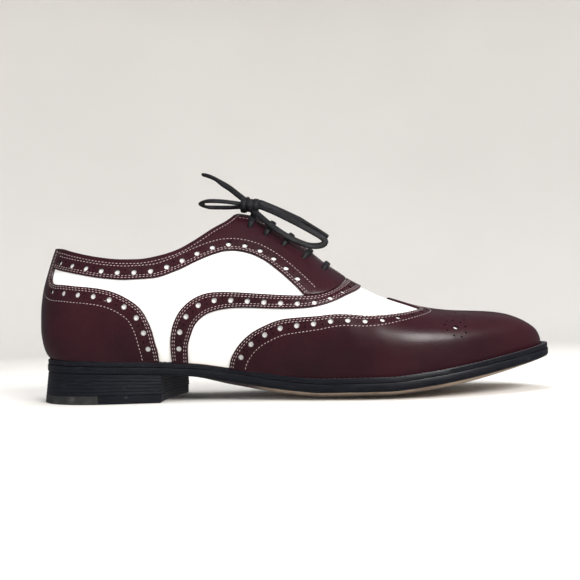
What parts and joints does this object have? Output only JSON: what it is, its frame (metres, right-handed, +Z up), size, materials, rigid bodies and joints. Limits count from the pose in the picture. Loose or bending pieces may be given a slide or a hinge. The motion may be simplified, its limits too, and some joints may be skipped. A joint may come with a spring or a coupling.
{
  "type": "spectator shoe",
  "caption": "Two-tone lace-up dress shoe for the right foot, with a perforated wing cap, heel counter and facings over a white upper, a leather sole and a stacked heel.",
  "frame": {"origin": "on the floor under the heel's top piece, on the shoe's centre line, 45 mm ahead of the heel's back", "axes": "+X from heel to toe, +Y towards the inner (medial) side, +Z up"},
  "size_m": [0.3112, 0.1028, 0.1404],
  "materials": {
    "white_leather": "smooth polished calf",
    "dark_leather": "smooth polished calf, burgundy brown",
    "lining_leather": "matt vegetable-tanned",
    "blacked_edge": "waxed black edge",
    "sole_leather": "worn sole leather",
    "heel_rubber": "matt",
    "lace_cotton": "waxed cotton"
  },
  "bodies": {
    "root": {"upper": "white_leather", "wing_cap": "dark_leather", "heel_counter": "dark_leather", "vamp_strap": "dark_leather", "facing_lateral": "dark_leather", "facing_medial": "dark_leather", "tongue": "dark_leather", "insole": "lining_leather", "welt": "blacked_edge", "outsole": "blacked_edge", "heel_lift_1": "blacked_edge", "heel_lift_2": "blacked_edge", "heel_lift_3": "blacked_edge", "top_piece_leather": "sole_leather", "top_piece_rubber": "heel_rubber", "lace_bar_1": "lace_cotton", "lace_bar_2": "lace_cotton", "lace_bar_3": "lace_cotton", "lace_bar_4": "lace_cotton", "lace_bar_5": "lace_cotton", "lace_knot": "lace_cotton", "lace_loop_rear": "lace_cotton", "lace_loop_front": "lace_cotton", "lace_end_rear": "lace_cotton", "lace_end_front": "lace_cotton"}
  },
  "joints": []
}
